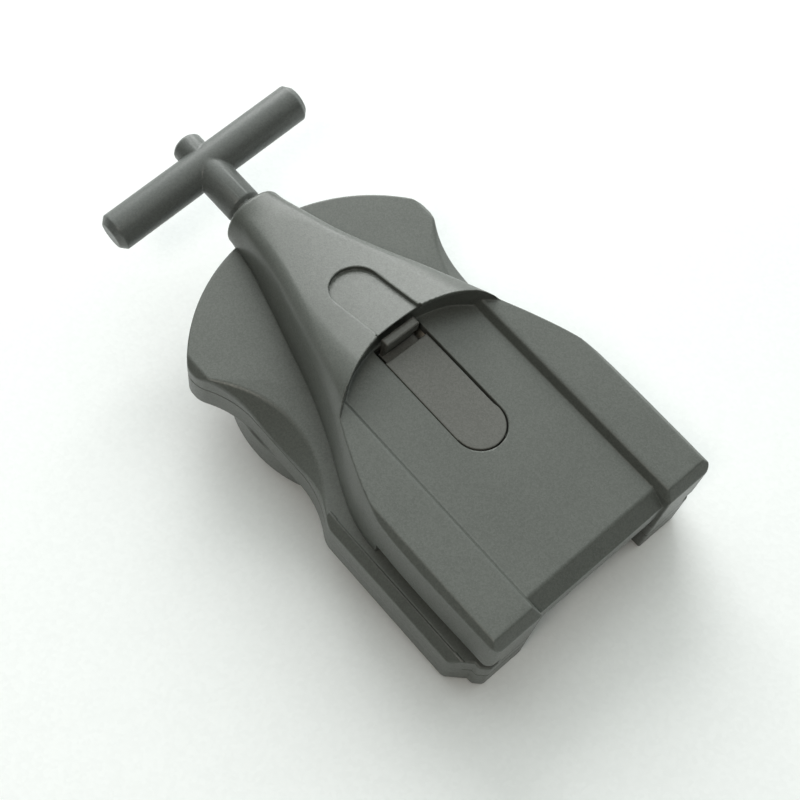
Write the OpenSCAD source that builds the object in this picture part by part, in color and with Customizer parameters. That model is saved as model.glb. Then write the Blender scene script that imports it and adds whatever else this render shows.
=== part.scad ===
// Spinning top launcher with a pull string, as an assembly of separate pieces.
// Millimetres. +Z is up along the spin axis, +Y points to the pull handle.
// The origin is on the spin axis, in the mouth of the launch head's socket.

/* [Heights] */
// Underside of the case above the skirt rim
case_bottom_z = 6.4; // [6:0.1:7.5]
// Depth of the lower case, from its underside to the joint with the deck
case_h = 6.3; // [6:0.1:7]
// Depth of the deck, from the joint to the lobe tops
deck_h = 4.2; // [4:0.1:5]
// Height of the grip channel's floor above the lobe tops
channel_rise = 11.6; // [11.2:0.1:14]
// Height of the two rails above the channel floor
rail_h = 1.8; // [1.2:0.1:2.6]
// Height of the hood's edge above the rail tops
hood_rise = 4.3; // [3.5:0.1:5]
// Height of the string above the lobe tops
string_rise = 1.3; // [1:0.1:1.8]

/* [Case plan] */
// Half of the case width at the lobes and along the rear strips
case_half_w = 29; // [28:0.5:31]
// Distance from the spin axis to the rear end
rear_len = 61.2; // [58:0.5:68]
// Radius of the lobes' front edge
lobe_r = 35.8; // [35:0.2:38]
// How far the centre of that edge lies behind the spin axis
lobe_back = 5.2; // [4.5:0.1:6]
// Radius of the ends of the waist on each side of the lower case
waist_r = 20; // [16:0.5:24]
// Length of the straight stretch of the waist
waist_run = 13; // [10:0.5:15]
// Half width left at the waist
waist_half_w = 25.2; // [24.6:0.1:25.8]
// How far waists and scoops lie behind the spin axis
waist_back = 5.6; // [4.5:0.1:7]
// Radius of the finger scoop in each side of the deck
scoop_r = 33; // [30:0.5:36]
// Half width left at the top edge of the scoops
scoop_half_w = 21.2; // [20.8:0.1:22]
// Lean of the scoops from upright, in degrees
scoop_lean = 50; // [46:1:53]
// Size of the cut rear corners of the case
case_corner = 5; // [3:0.2:6]
// Where the rear strips start behind the spin axis
strip_start = 22.5; // [20:0.5:26]
// Thickness of the rear strips
strip_w = 1.9; // [1.6:0.1:2.2]
// Bevel along the top of the rear strips
strip_bevel = 1.4; // [0.8:0.1:1.6]
// Bevel along the straight sides of the lobes
lobe_bevel = 1.3; // [0.6:0.1:1.6]

/* [Top cover] */
// Wall thickness of the plastic mouldings
wall = 1.8; // [1.5:0.1:2]
// Outside radius of the nozzle
nozzle_r = 6.3; // [6:0.1:7]
// Distance from the spin axis to the nozzle mouth
nozzle_y = 33; // [32.5:0.5:36]
// Length of the nozzle tube
nozzle_len = 11; // [9:0.5:11]
// Radius of the rounded lip at the nozzle mouth
nozzle_lip = 1.2; // [0.6:0.1:1.5]
// Half width of the cover along the rails
cover_half_w = 25.9; // [25:0.1:26.2]
// Radius of the hollow flanks
flare_r = 104.4; // [98:0.5:112]
// Half width that the flanks would narrow to in front
flare_half_w = 5.6; // [5.4:0.1:6.2]
// How far in front of the spin axis that narrowest width lies
flare_front = 42.9; // [41:0.5:45]
// Where the straight sides start behind the spin axis
shoulder_back = 32; // [30:0.5:34]
// Height above the lobe tops where the flanks start to lean inward
ridge_rise = 4.9; // [4:0.1:6]
// Lean of the upper flanks, in degrees
flank_lean = 20; // [16:1:22]
// Half width across the outer edges of the rail tops
rail_half_w = 25.8; // [25:0.1:25.9]
// Where those edges become straight behind the spin axis
rail_start = 36; // [34:0.5:38]
// Radius of the hood's roof across
roof_r = 90; // [70:5:120]
// Radius of the hood's roof along the string
sweep_r = 180; // [150:5:240]
// Radius of the hood's edge in plan
rim_r = 29; // [27:0.5:32]
// How far the hood's edge lies behind the spin axis
rim_back = 7.2; // [6.8:0.1:8]
// Half width between the tips of the hood
tip_half_w = 21; // [19:0.5:22]
// Depth of the pocket under the hood's edge
pocket_depth = 0.8; // [0.4:0.1:1.4]
// Thickness of the hood's edge
hood_t = 1.6; // [1.2:0.1:1.8]
// Half width of the round-ended recess in the hood
recess_half_w = 4.7; // [4:0.1:5.5]
// Front end of that recess, in front of the spin axis
recess_front = 8.5; // [7:0.5:11]
// Depth of that recess
recess_depth = 0.8; // [0.5:0.1:1]

/* [Grip channel] */
// Half width of the channel floor
channel_half_w = 15.2; // [14.6:0.1:16]
// How much wider each side is at the rail tops
channel_draft = 0.9; // [0.4:0.1:1.2]
// Thickness of the channel floor
floor_t = 2; // [1.6:0.1:2.2]
// Where the channel floor ends behind the spin axis
floor_end = 57.4; // [55:0.2:59]
// How far the lip behind the floor slopes down
lip_drop = 2.5; // [1.5:0.1:3]
// Height of the lip's rear face
lip_h = 6; // [4:0.1:7]
// Bevel along the outer edges of the rails
rail_bevel = 1; // [0.6:0.1:1.4]
// Bevel on the rear ends of the rails
rear_bevel = 1.8; // [1:0.1:2.4]
// Height of the grip slot along each side
slot_h = 3; // [2.4:0.1:3.4]
// Depth of the grip slots
slot_depth = 3; // [2:0.1:3.4]
// Where the slots start behind the spin axis
slot_start = 33; // [31:0.5:36]

/* [Grip catch] */
// Half width of the catch plate
catch_half_w = 4.85; // [4.4:0.05:5.2]
// Rear end of the catch plate behind the spin axis
catch_back = 34.2; // [32:0.2:36]
// Front end of the catch plate behind the spin axis
catch_front = 10.4; // [10:0.1:12]
// Half width of the nib
nib_half_w = 3.8; // [3:0.1:4.2]
// Thickness of the nib
nib_t = 1.7; // [1.4:0.1:1.8]
// Height of the nib above the channel floor
nib_h = 3.5; // [2.5:0.1:4]
// Travel of the catch when it is pressed
catch_travel = 1.6; // [1.2:0.1:1.6]

/* [Skirt and launch head] */
// Outside radius of the skirt
skirt_r = 25.6; // [25.2:0.1:26.5]
// Wall thickness of the skirt
skirt_wall = 2.2; // [1.8:0.1:2.6]
// Radius of the launch head's disc
head_r = 21; // [19:0.2:22]
// Thickness of the disc
head_t = 2.8; // [2.4:0.1:3]
// Radius of the socket in the middle of the disc
socket_r = 5; // [4:0.1:6]
// Depth of the socket
socket_depth = 1.2; // [1:0.1:1.4]
// Inside radius of the two prongs
prong_in_r = 11.5; // [10.5:0.1:12.5]
// Thickness of the prongs
prong_t = 3; // [2.4:0.1:3.4]
// Length of the prongs below the disc
prong_len = 3; // [2.6:0.1:6]
// Angle that each prong spans, in degrees
prong_angle = 40; // [36:1:52]
// Angle that each hook reaches past its prong, in degrees
hook_angle = 14; // [10:1:20]
// Thickness of the hooks
hook_t = 1.2; // [1:0.1:1.6]

/* [Drive] */
// Radius of the drive shaft
shaft_r = 2; // [1.6:0.1:2.2]
// Radius of the string drum
drum_r = 7; // [6.4:0.1:7.4]
// Radius of the drum's flanges
flange_r = 11.2; // [10.8:0.1:11.4]
// Thickness of the drum's flanges
flange_t = 1; // [0.9:0.05:1.2]
// Height of the groove between the flanges
groove_h = 4.4; // [4:0.1:4.4]
// Outside radius of the wound string
winding_r = 10.2; // [9:0.1:10.3]
// Radius of the string
string_r = 0.65; // [0.5:0.05:0.75]
// Outside radius of the spring barrel
barrel_r = 19; // [18:0.1:19.4]
// Wall thickness of the spring barrel
barrel_wall = 1.2; // [1:0.1:1.6]
// Turns of the recoil spring
spring_turns = 6; // [4:1:7]
// Thickness of the recoil spring's strip
spring_t = 0.4; // [0.3:0.05:0.5]
// Tooth count of the ratchet wheel
ratchet_teeth = 8; // [8:1:8]
// Tip radius of the ratchet wheel
ratchet_r = 5.2; // [5:0.1:5.4]
// Depth of its teeth
tooth_depth = 1.3; // [1:0.1:1.4]
// Thickness of wheel and pawls
pawl_t = 1.7; // [1.4:0.05:1.8]

/* [Handle] */
// Length of the cross bar
bar_len = 46; // [40:1:56]
// Radius of the cross bar
bar_r = 3.9; // [3.4:0.1:4.4]
// Distance from the spin axis to the cross bar
bar_y = 47.2; // [45:0.2:50]
// How far the handle is turned around the string, in degrees
handle_roll = 7; // [0:1:20]
// Chamfer at the bar's ends
bar_chamfer = 1.2; // [0.6:0.1:1.6]
// Radius of the stem
stem_r = 3.75; // [3.2:0.05:3.8]
// Gap between the stem's shoulder and the nozzle
stem_gap = 1.8; // [1:0.1:2.4]
// Radius of the stem's spigot inside the nozzle
spigot_r = 2.9; // [2.4:0.1:3.2]
// Length of the spigot
spigot_len = 4.4; // [3:0.1:4.6]
// Radius of the stub beyond the bar
stub_r = 3.2; // [2.9:0.1:3.6]
// Length of the stub beyond the bar's middle
stub_len = 6.6; // [6:0.1:8]

/* [Screws] */
// Radius of the screw shanks
screw_r = 1.2; // [1:0.05:1.3]
// Radius of the screw heads
screw_head_r = 2.2; // [2:0.1:2.3]
// Height of the screw heads
screw_head_h = 1.4; // [1:0.1:1.5]
// Radius of the posts around the screws
post_r = 3; // [2.8:0.1:3.2]

/* [Hidden] */
$fn = 96;
// Extra length of every cut
overrun = 1;
// Clearance of seated round pieces
seat_fit = 0.04;
// Clearance of turning round pieces
run_fit = 0.06;
// Clearance around sliding and passing pieces
pass_gap = 0.3;

case_joint_z = case_bottom_z + case_h;
deck_top_z = case_joint_z + deck_h;
floor_z = deck_top_z + channel_rise;
rail_z = floor_z + rail_h;
hood_z = rail_z + hood_rise;
string_z = deck_top_z + string_rise;
floor_under_z = floor_z - floor_t;
case_floor_z = case_bottom_z + wall;
deck_under_z = deck_top_z - wall;
deck_half_w = case_half_w - strip_w - pass_gap;
strip_mid_y = -(rear_len + strip_start) / 2;
lip_share = 0.8;
lip_end = floor_end + lip_share * (rear_len - floor_end);
lip_z = floor_z - lip_drop;
tall = hood_z + overrun;

// Flanks: hollow in front, turned by a tangent shoulder into the straight sides
flare_x = flare_half_w + flare_r;
shoulder_step = 0.05;
shoulder_r = tangent_r(flare_r, flare_x - cover_half_w, flare_front + shoulder_back) - shoulder_step;
shoulder_turn = shoulder_back
    - (flare_front + shoulder_back) * shoulder_r / (flare_r + shoulder_r);

// Upper flanks: cones of the same lean, so they stay tangent at every height
lean_share = tan(flank_lean);
ridge_z = deck_top_z + ridge_rise;
upper_flare_r = flare_r + (rail_z - ridge_z) * lean_share;
rail_turn_r = tangent_r(upper_flare_r, flare_x - rail_half_w, flare_front + rail_start) - shoulder_step;
rail_turn = rail_start
    - (flare_front + rail_start) * rail_turn_r / (upper_flare_r + rail_turn_r);
foot_spread = (rail_z - deck_top_z) * lean_share;
top_spread = (tall - rail_z) * lean_share;

// Roof: a torus that touches the nozzle's top and the hood's edge
roof_run = nozzle_y + rim_back;
roof_climb = hood_z - string_z - nozzle_r;
roof_chord = norm([roof_run, roof_climb]);
roof_stand = sqrt(sweep_r * sweep_r - roof_chord * roof_chord / 4);
roof_axis_y = (nozzle_y - rim_back) / 2 + roof_stand * roof_climb / roof_chord;
roof_axis_z = string_z + nozzle_r + roof_climb / 2 + roof_stand * roof_run / roof_chord;
nozzle_cone_share = 0.35;
roof_t = recess_depth + wall;
tip_back = rim_back + rim_r - sqrt(rim_r * rim_r - tip_half_w * tip_half_w);
nozzle_bore_r = nozzle_r - wall;
nozzle_in_y = nozzle_y - nozzle_len;

// Stack of the drive along the spin axis
groove_z = string_z - groove_h / 2;
flange_low_z = groove_z - flange_t;
flange_top_z = groove_z + groove_h + flange_t;
pawl_gap = 0.15;
pawl_z = flange_top_z + pawl_gap;
pawl_top_z = pawl_z + pawl_t;
ring_t = 0.8;
ring_z = pawl_top_z + pawl_gap;
boss_gap = 0.4;
boss_z = ring_z + ring_t + boss_gap;
shaft_boss_r = 4;
shaft_in_boss = 2.4;
shaft_top_z = boss_z + shaft_in_boss;
barrel_z = case_floor_z + pass_gap;
barrel_top_z = flange_low_z;
web_t = 1.2;
web_z = barrel_top_z - web_t;
sleeve_r = 4.6;
sleeve_z = web_z - pass_gap;
bush_r = 3.4;
bush_flange_r = 5.2;
bush_flange_t = 1;
bush_len_share = 0.6;
hub_r = 6;
washer_t = 0.9;
washer_gap = 0.1;
hub_z = case_bottom_z - bush_flange_t - washer_gap - washer_t;
socket_web = 0.6;
drum_hole_r = flange_r + 2 * pass_gap;

// Pawls: the pivot stands behind a tooth that points along +Y
pivot_r = 8.3;
pivot_angle = 31;
pivot_eye_r = 1.5;
pin_r = 0.7;
pivot_x = pivot_r * cos(pivot_angle);
pivot_y = pivot_r * sin(pivot_angle);
tip_gap = 0.12;
pawl_low_y = ratchet_r - tooth_depth / 2;
pawl_tip_t = 0.9;
pawl_root_t = 1.7;
leaf_t = 0.3;
leaf_len = 5.2;
leaf_seat = 1.1;

// String from the drum's tangent point to the guide
guide_len = 3.5;
guide_y = nozzle_y - spigot_len - pass_gap - guide_len;
guide_r = nozzle_bore_r - seat_fit;
guide_hole_r = string_r + pass_gap;
guide_flare = 1.7;
bend_share = 0.65;
bend_y = guide_y + guide_len * bend_share;
lead_r = winding_r + string_r + seat_fit;
lead_angle = asin(lead_r / bend_y);

// Screw places
case_screw_x = 22.5;
case_screw_front = 17.8;
rear_screw_share = 0.8;
case_screw_rear = rear_len * rear_screw_share;
rear_screw_x = 20;
cover_screw_x = 13;
cover_screw_front = 21.4;
cover_screw_rear = rear_len - 3 * post_r;
cover_post_r = 2.6;
cover_screw_bite = 7;
keeper_screw_x = 8.3;
keeper_screw_back = catch_back - 3 * screw_r;
keeper_post_r = 1.7;
keeper_screw_r = 0.8;
keeper_head_r = 1.5;
keeper_head_h = 1;

// Catch stack under the channel floor
catch_lip = 1.2;
catch_flange_t = 1.3;
catch_arm_t = 1;
leaf_spring_t = 0.35;
leaf_spring_half_w = 3;
leaf_rise = 2 * catch_travel;
keeper_t = 1.1;
catch_flange_z = floor_under_z - catch_flange_t;
keeper_top_z = catch_flange_z - leaf_rise;
keeper_z = keeper_top_z - keeper_t;
keeper_half_w = 9.9;
keeper_front = catch_front + 2 * screw_head_h;
nib_back = rim_back + nib_t + pass_gap;
catch_arm_z = floor_under_z - catch_arm_t;
catch_flange_front = catch_front + wall;

// Radius of an arc that touches a circle of radius r and a straight side, given the
// distances from that circle's centre to the side and, along the side, to the arc's end
function tangent_r(r, across, along) =
    (across * across + along * along - r * r) / (2 * (r - across));

// Outline of the case, drawn in by inset
module case_plan(inset) {
    difference() {
        union() {
            intersection() {
                translate([0, -lobe_back]) circle(r = lobe_r - inset);
                translate([inset - case_half_w, -waist_back])
                    square([2 * (case_half_w - inset), lobe_r + waist_back]);
            }
            translate([inset - case_half_w, inset - rear_len])
                square([2 * (case_half_w - inset), rear_len - inset]);
        }
        for (side = [-1, 1]) {
            translate([side * (waist_half_w + waist_r), -waist_back]) {
                square([2 * (waist_r + inset), waist_run], center = true);
                for (end = [-1, 1]) translate([0, end * waist_run / 2]) circle(r = waist_r + inset);
            }
            translate([side * case_half_w, -rear_len]) rotate(45)
                square(sqrt(2) * case_corner + 2 * inset, center = true);
        }
        translate([-channel_half_w - inset, -rear_len - overrun])
            square([2 * (channel_half_w + inset), rear_len - floor_end + inset + overrun]);
    }
}

// Outline of the deck: the case outline, narrowed between the rear strips
module deck_plan(inset) {
    intersection() {
        case_plan(inset);
        union() {
            translate([-case_half_w, inset - strip_start])
                square([2 * case_half_w, strip_start + lobe_r]);
            translate([inset - deck_half_w, -rear_len])
                square([2 * (deck_half_w - inset), rear_len + lobe_r]);
        }
    }
}

// Leaning cutter of the finger scoops
module scoops(grow) {
    for (side = [-1, 1])
        translate([side * (scoop_half_w + scoop_r / cos(scoop_lean)), -waist_back, deck_top_z])
            rotate([0, -side * scoop_lean, 0])
                cylinder(r = scoop_r + grow, h = 4 * scoop_r, center = true);
}

// Places of the screws that close the case
module at_case_screws() {
    for (side = [-1, 1]) {
        translate([side * case_screw_x, case_screw_front, 0]) children();
        translate([side * rear_screw_x, -case_screw_rear, 0]) children();
    }
}

// Places of the screws that hold the cover
module at_cover_screws() {
    for (side = [-1, 1])
        for (back = [cover_screw_front, cover_screw_rear])
            translate([side * cover_screw_x, -back, 0]) children();
}

// Places of the screws of the catch keeper
module at_keeper_screws() {
    for (side = [-1, 1])
        translate([side * keeper_screw_x, -keeper_screw_back, 0]) children();
}

// Round bar along +Y, with its low end at y
module along_y(y, r, len) {
    translate([0, y, string_z]) rotate([-90, 0, 0]) cylinder(r = r, h = len);
}

// Outline of the top cover, drawn in by inset and ending at front
module cover_plan(inset, front) {
    difference() {
        union() {
            intersection() {
                translate([cover_half_w - shoulder_r, -shoulder_back])
                    circle(r = shoulder_r - inset);
                translate([shoulder_r - cover_half_w, -shoulder_back])
                    circle(r = shoulder_r - inset);
                translate([-cover_half_w, -shoulder_back])
                    square([2 * cover_half_w, shoulder_back]);
            }
            translate([-cover_half_w, -shoulder_turn])
                square([2 * cover_half_w, shoulder_turn + front]);
            translate([inset - cover_half_w, inset - rear_len])
                square([2 * (cover_half_w - inset), rear_len - shoulder_back - inset]);
        }
        for (side = [-1, 1])
            translate([side * flare_x, flare_front]) circle(r = flare_r + inset);
    }
}

// Leaning flanks above the ridge, drawn in by inset
module upper_flanks(inset) {
    rise = tall - deck_top_z;
    foot_half_w = rail_half_w + foot_spread - inset;
    top_half_w = rail_half_w - top_spread - inset;
    foot_r = rail_turn_r + foot_spread - inset;
    top_r = rail_turn_r - top_spread - inset;
    difference() {
        union() {
            intersection() {
                translate([rail_half_w - rail_turn_r, -rail_start, deck_top_z])
                    cylinder(r1 = foot_r, r2 = top_r, h = rise);
                translate([rail_turn_r - rail_half_w, -rail_start, deck_top_z])
                    cylinder(r1 = foot_r, r2 = top_r, h = rise);
                translate([-case_half_w, -rail_start, deck_top_z])
                    cube([2 * case_half_w, rail_start, rise]);
            }
            translate([-case_half_w, -rail_turn, deck_top_z])
                cube([2 * case_half_w, rail_turn + nozzle_y, rise]);
            translate([0, -rail_start, deck_top_z]) rotate([90, 0, 0])
                linear_extrude(height = rear_len - rail_start)
                    polygon([[-foot_half_w, 0], [foot_half_w, 0], [top_half_w, rise], [-top_half_w, rise]]);
        }
        for (side = [-1, 1])
            translate([side * flare_x, flare_front, ridge_z])
                cylinder(r1 = flare_r + inset, r2 = flare_r + inset + tall * lean_share, h = tall);
    }
}

// Hood's roof, lowered by drop: the inside of a torus swept in the plane of the string
module roof(drop) {
    translate([0, roof_axis_y, roof_axis_z]) rotate([0, 90, 0])
        rotate_extrude() translate([sweep_r + roof_r, 0]) circle(r = roof_r - drop);
}

// Cone that blends the cover into the nozzle, drawn in by inset
module nozzle_cone(inset) {
    reach = nozzle_y + rear_len;
    translate([0, nozzle_y, string_z]) rotate([90, 0, 0])
        cylinder(r1 = nozzle_r - inset, r2 = nozzle_r - inset + reach * nozzle_cone_share, h = reach);
}

// Plan of everything behind the hood's edge, moved forward by grow
module behind_rim(grow) {
    translate([0, -rim_back - rim_r]) circle(r = rim_r + grow);
    translate([-case_half_w, -rear_len - overrun])
        square([2 * case_half_w, rear_len + overrun - tip_back]);
}

// Round-ended outline of the catch plate, grown by gap, from its rear end to front
module catch_plan(gap, front) {
    round_y = catch_half_w - catch_back;
    translate([0, round_y]) circle(r = catch_half_w + gap);
    translate([-catch_half_w - gap, round_y])
        square([2 * (catch_half_w + gap), -round_y - front]);
}

// Hollow of the top cover
module cover_hollow() {
    difference() {
        intersection() {
            linear_extrude(height = tall) cover_plan(wall, nozzle_in_y);
            union() {
                upper_flanks(wall);
                translate([-case_half_w, -rear_len, 0]) cube([2 * case_half_w, 2 * rear_len, deck_top_z]);
            }
            nozzle_cone(wall);
            roof(roof_t);
        }
        translate([0, 0, floor_under_z])
            linear_extrude(height = tall) behind_rim(pocket_depth + wall);
        for (side = [-1, 1])
            translate([side * (cover_half_w - slot_depth / 2), wall - (rear_len + slot_start) / 2, deck_top_z])
                cube([slot_depth + 2 * wall, rear_len - slot_start, 2 * (slot_h + wall)], center = true);
        translate([-case_half_w, -rear_len - overrun, 0])
            cube([2 * case_half_w, rear_len + overrun - floor_end + wall, tall]);
    }
}

// Posts inside the top cover
module cover_posts() {
    at_cover_screws() translate([0, 0, deck_top_z])
        cylinder(r = cover_post_r, h = floor_under_z - deck_top_z + floor_t / 2);
    at_keeper_screws() translate([0, 0, keeper_top_z])
        cylinder(r = keeper_post_r, h = floor_under_z - keeper_top_z + floor_t / 2);
    intersection() {
        translate([0, 0, boss_z]) cylinder(r = shaft_boss_r, h = tall);
        roof(roof_t / 2);
    }
}

module top_cover() {
    color("#7d807a") difference() {
        union() {
            difference() {
                union() {
                    intersection() {
                        translate([0, 0, deck_top_z])
                            linear_extrude(height = tall) cover_plan(0, nozzle_y - nozzle_lip);
                        upper_flanks(0);
                        nozzle_cone(0);
                        roof(0);
                    }
                    along_y(nozzle_in_y, nozzle_r, nozzle_len - nozzle_lip);
                    translate([0, nozzle_y - nozzle_lip, string_z]) rotate([-90, 0, 0])
                        cylinder(r1 = nozzle_r, r2 = nozzle_r - nozzle_lip / 2, h = nozzle_lip);
                }
                cover_hollow();
            }
            cover_posts();
        }
        // everything behind the hood's edge, above the rails
        translate([0, 0, rail_z]) linear_extrude(height = tall) behind_rim(0);
        // grip channel and the pocket under the hood
        intersection() {
            translate([0, 0, floor_z]) rotate([90, 0, 0])
                linear_extrude(height = 3 * rear_len, center = true)
                    polygon([[-channel_half_w, 0], [channel_half_w, 0],
                        [channel_half_w + channel_draft, rail_h],
                        [channel_half_w + channel_draft, hood_z],
                        [-channel_half_w - channel_draft, hood_z],
                        [-channel_half_w - channel_draft, rail_h]]);
            translate([0, 0, floor_z]) linear_extrude(height = tall) behind_rim(pocket_depth);
            roof(hood_t);
        }
        // the floor ends in a sloping lip, short of the rails
        translate([-channel_half_w, 0, 0]) rotate([90, 0, 90])
            linear_extrude(height = 2 * channel_half_w)
                polygon([[-floor_end, tall], [-floor_end, floor_z], [-lip_end, lip_z],
                    [-lip_end, lip_z - lip_h], [-floor_end, lip_z - lip_h], [-floor_end, 0],
                    [-rear_len - overrun, 0], [-rear_len - overrun, tall]]);
        // bevel on the rear ends of the rails
        translate([-case_half_w, -rear_len, rail_z - rear_bevel]) rotate([45, 0, 0])
            cube([2 * case_half_w, 3 * rear_bevel, 3 * rear_bevel]);
        // bevel along the outer edges of the rails
        for (side = [-1, 1])
            translate([side * cover_half_w, -rear_len, rail_z]) rotate([0, 45, 0])
                cube([sqrt(2) * rail_bevel, 2 * (rear_len - tip_back), sqrt(2) * rail_bevel], center = true);
        // upright rear corners
        for (side = [-1, 1])
            translate([side * cover_half_w, -rear_len, 0]) rotate([0, 0, 45])
                cube([sqrt(2) * rear_bevel, sqrt(2) * rear_bevel, 2 * tall], center = true);
        // grip slots
        for (side = [-1, 1])
            translate([side * cover_half_w, -rear_len - slot_start, deck_top_z])
                cube([2 * slot_depth, 2 * rear_len, 2 * slot_h], center = true);
        // recess in the hood
        difference() {
            translate([0, recess_front - recess_half_w, deck_top_z]) linear_extrude(height = tall) {
                circle(r = recess_half_w);
                translate([-recess_half_w, -recess_front - rim_back])
                    square([2 * recess_half_w, recess_front + rim_back]);
            }
            roof(recess_depth);
        }
        // window of the catch
        translate([0, 0, floor_under_z - overrun]) linear_extrude(height = floor_t + 2 * overrun)
            catch_plan(pass_gap, rim_back);
        // bores
        along_y(nozzle_in_y - overrun, nozzle_bore_r, nozzle_len + 2 * overrun);
        translate([0, 0, boss_z - overrun])
            cylinder(r = shaft_r + run_fit, h = shaft_in_boss + pass_gap + overrun);
        at_cover_screws() translate([0, 0, deck_top_z - overrun])
            cylinder(r = screw_r + seat_fit, h = cover_screw_bite + pass_gap + overrun);
        at_keeper_screws() translate([0, 0, keeper_top_z - overrun])
            cylinder(r = keeper_screw_r + seat_fit, h = leaf_rise + pass_gap + overrun);
    }
}

module deck() {
    color("#757872") difference() {
        union() {
            difference() {
                translate([0, 0, case_joint_z]) linear_extrude(height = deck_h) deck_plan(0);
                difference() {
                    translate([0, 0, case_joint_z - overrun])
                        linear_extrude(height = deck_h - wall + overrun) deck_plan(wall);
                    scoops(wall);
                }
            }
            intersection() {
                at_case_screws() translate([0, 0, case_joint_z]) cylinder(r = post_r, h = deck_h - wall / 2);
                translate([0, 0, case_joint_z]) linear_extrude(height = deck_h) deck_plan(0);
            }
        }
        scoops(0);
        for (side = [-1, 1])
            translate([side * case_half_w, 0, deck_top_z]) rotate([0, 45, 0])
                cube([sqrt(2) * lobe_bevel, 2 * lobe_r, sqrt(2) * lobe_bevel], center = true);
        translate([0, 0, case_joint_z - overrun]) cylinder(r = drum_hole_r, h = deck_h + 2 * overrun);
        along_y(nozzle_in_y - seat_fit, nozzle_r + seat_fit, nozzle_len + lobe_r);
        at_case_screws() translate([0, 0, case_joint_z - overrun])
            cylinder(r = screw_r + seat_fit, h = deck_h - wall / 2 + overrun);
        at_cover_screws() translate([0, 0, case_joint_z - overrun])
            cylinder(r = screw_r + seat_fit, h = deck_h + 2 * overrun);
    }
}

module lower_case() {
    color("#6e716b") difference() {
        union() {
            difference() {
                translate([0, 0, case_bottom_z]) linear_extrude(height = case_h) case_plan(0);
                translate([0, 0, case_floor_z]) linear_extrude(height = case_h) case_plan(wall);
            }
            // strips beside the deck
            intersection() {
                translate([0, 0, case_bottom_z])
                    linear_extrude(height = case_h + deck_h) case_plan(0);
                for (side = [-1, 1])
                    translate([side * (case_half_w - strip_w / 2), strip_mid_y - pass_gap, case_joint_z])
                        cube([strip_w, rear_len - strip_start, 2 * deck_h], center = true);
            }
            // skirt
            difference() {
                cylinder(r = skirt_r, h = case_bottom_z + wall / 2);
                translate([0, 0, -overrun]) cylinder(r = skirt_r - skirt_wall, h = case_bottom_z + overrun);
            }
            // sleeve that holds the bush and the spring's inner end
            translate([0, 0, case_bottom_z]) cylinder(r = sleeve_r, h = sleeve_z - case_bottom_z);
            intersection() {
                at_case_screws() translate([0, 0, case_bottom_z]) cylinder(r = post_r, h = case_h);
                translate([0, 0, case_bottom_z]) linear_extrude(height = case_h) case_plan(0);
            }
        }
        // bevel on the strips
        for (side = [-1, 1])
            translate([side * case_half_w, strip_mid_y, deck_top_z]) rotate([0, 45, 0])
                cube([sqrt(2) * strip_bevel, rear_len, sqrt(2) * strip_bevel], center = true);
        translate([0, 0, case_bottom_z - overrun])
            cylinder(r = bush_r + seat_fit, h = (sleeve_z - case_bottom_z) * bush_len_share + overrun);
        translate([0, 0, case_bottom_z])
            cylinder(r = shaft_r + pass_gap, h = sleeve_z + overrun);
        along_y(nozzle_in_y, nozzle_r + seat_fit, nozzle_len + lobe_r);
        at_case_screws() {
            translate([0, 0, case_bottom_z - overrun])
                cylinder(r = screw_r + seat_fit, h = case_h + 2 * overrun);
            translate([0, 0, case_bottom_z - overrun])
                cylinder(r = screw_head_r + pass_gap, h = screw_head_h + pass_gap + overrun);
        }
    }
}

// One prong with its hook: a ring sector, cut away above the hook
module prong() {
    rotate([0, 0, -prong_angle / 2]) difference() {
        translate([0, 0, -prong_len]) rotate_extrude(angle = prong_angle + hook_angle)
            translate([prong_in_r, 0]) square([prong_t, prong_len + head_t / 2]);
        rotate([0, 0, prong_angle]) translate([0, 0, hook_t - prong_len])
            rotate_extrude(angle = 2 * hook_angle)
                translate([prong_in_r - overrun, 0]) square([prong_t + 2 * overrun, tall]);
    }
}

module launch_head() {
    color("#3b3d3c") difference() {
        union() {
            cylinder(r = head_r, h = head_t);
            translate([0, 0, head_t / 2]) cylinder(r = hub_r, h = hub_z - head_t / 2);
            for (turn = [0, 180]) rotate([0, 0, turn]) prong();
        }
        translate([0, 0, -overrun]) cylinder(r = socket_r, h = socket_depth + overrun);
        translate([0, 0, socket_depth + socket_web]) cylinder(r = shaft_r + seat_fit, h = tall);
    }
}

module drive_shaft() {
    color("#b9bcc0") translate([0, 0, socket_depth + socket_web])
        cylinder(r = shaft_r, h = shaft_top_z - socket_depth - socket_web);
}

module shaft_bush() {
    color("#b08d4f") difference() {
        union() {
            translate([0, 0, case_bottom_z - bush_flange_t]) cylinder(r = bush_flange_r, h = bush_flange_t);
            translate([0, 0, case_bottom_z - bush_flange_t])
                cylinder(r = bush_r, h = bush_flange_t + (sleeve_z - case_bottom_z) * bush_len_share);
        }
        cylinder(r = shaft_r + run_fit, h = tall);
    }
}

module thrust_washer() {
    color("#e8e6dc") translate([0, 0, hub_z]) difference() {
        cylinder(r = bush_flange_r, h = washer_t);
        translate([0, 0, -overrun]) cylinder(r = shaft_r + run_fit, h = washer_t + 2 * overrun);
    }
}

module ratchet_wheel() {
    step = 360 / ratchet_teeth;
    root_r = ratchet_r - tooth_depth;
    color("#c9a45c") translate([0, 0, pawl_z]) difference() {
        linear_extrude(height = pawl_t)
            polygon([for (i = [0:ratchet_teeth - 1]) for (r = [root_r, ratchet_r])
                [r * cos(90 + i * step), r * sin(90 + i * step)]]);
        translate([0, 0, -overrun]) cylinder(r = shaft_r + seat_fit, h = pawl_t + 2 * overrun);
    }
}

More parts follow.
